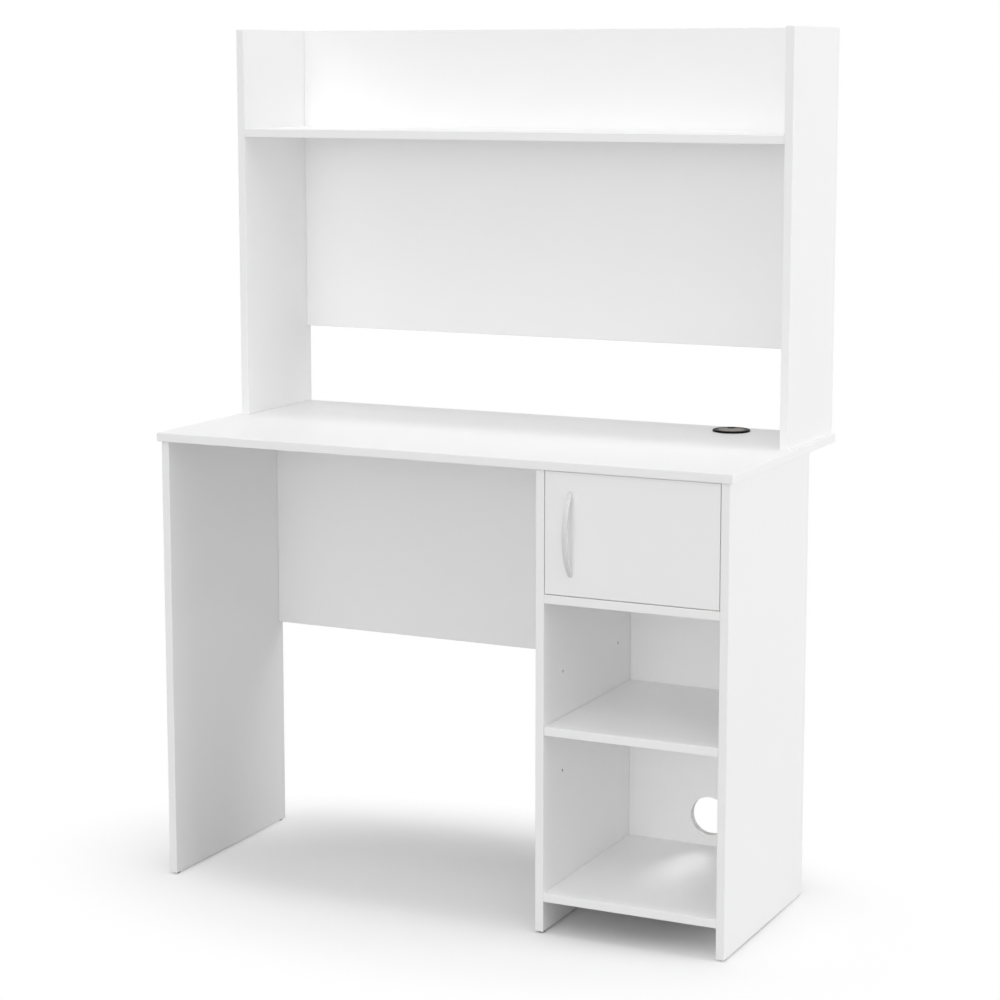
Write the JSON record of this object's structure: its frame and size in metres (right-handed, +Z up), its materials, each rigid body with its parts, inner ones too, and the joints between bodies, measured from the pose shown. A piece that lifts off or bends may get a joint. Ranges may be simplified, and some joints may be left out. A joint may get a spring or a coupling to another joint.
{
  "type": "student desk with hutch",
  "caption": "White flat-pack writing desk with a kneehole, a side cabinet with door and open shelves, cable openings, and an open shelved hutch standing on the desktop.",
  "frame": {"origin": "on the floor, under the centre of the overall box", "axes": "+Z up, +X to the sitter's right (the cabinet end), and the sitter on the -Y side"},
  "size_m": [1.005, 0.494, 1.405],
  "materials": {
    "melamine_board": "white melamine-faced particleboard with white edge band",
    "handle_paint": "satin white paint on die-cast zinc",
    "grommet_black": "black moulded plastic",
    "grommet_grey": "dark grey moulded plastic",
    "glide_black": "dark plastic nail-in glide",
    "zinc": "die-cast zinc and zinc-plated steel",
    "steel": "plated steel",
    "beech": "fluted beech dowel",
    "white_plastic": "white moulded plastic",
    "ferrite": "ferrite magnet"
  },
  "bodies": {
    "desk": {"desktop": "melamine_board", "left_leg_panel": "melamine_board", "pedestal_inner_panel": "melamine_board", "pedestal_outer_panel": "melamine_board", "modesty_panel": "melamine_board", "pedestal_back_panel": "melamine_board", "cabinet_floor": "melamine_board", "bottom_shelf": "melamine_board", "hutch_left_side": "melamine_board", "hutch_right_side": "melamine_board", "hutch_shelf": "melamine_board", "hutch_back_panel": "melamine_board", "pivot_bushes": "white_plastic", "catch_housing": "white_plastic", "catch_magnet": "ferrite", "catch_screws": "steel", "grommet_liner": "grommet_black", "floor_glides": "glide_black", "cam_locks": "zinc", "cam_bolts": "steel", "wood_dowels": "beech", "hutch_screws": "steel", "shelf_pins": "steel"},
    "door": {"cabinet_door": "melamine_board", "door_handle": "handle_paint", "handle_screws": "steel", "door_pivot_pins": "steel", "strike_plate": "steel", "strike_screw": "steel"},
    "cap": {"grommet_cap": "grommet_grey"},
    "shelf": {"adjustable_shelf": "melamine_board"}
  },
  "joints": [
    {"name": "door_swing", "type": "hinge", "parent": "desk", "child": "door", "pos_m": [0.4633, -0.216, 0.639], "axis": [0, 0, 1], "range_deg": [0, 110]},
    {"name": "grommet_cap_turn", "type": "hinge", "parent": "desk", "child": "cap", "pos_m": [0.3385, 0.201, 0.7515], "axis": [0, 0, 1], "continuous": true},
    {"name": "shelf_slide", "type": "slide", "parent": "desk", "child": "shelf", "axis": [0, -1, 0], "range_m": [0, 0.045]}
  ]
}
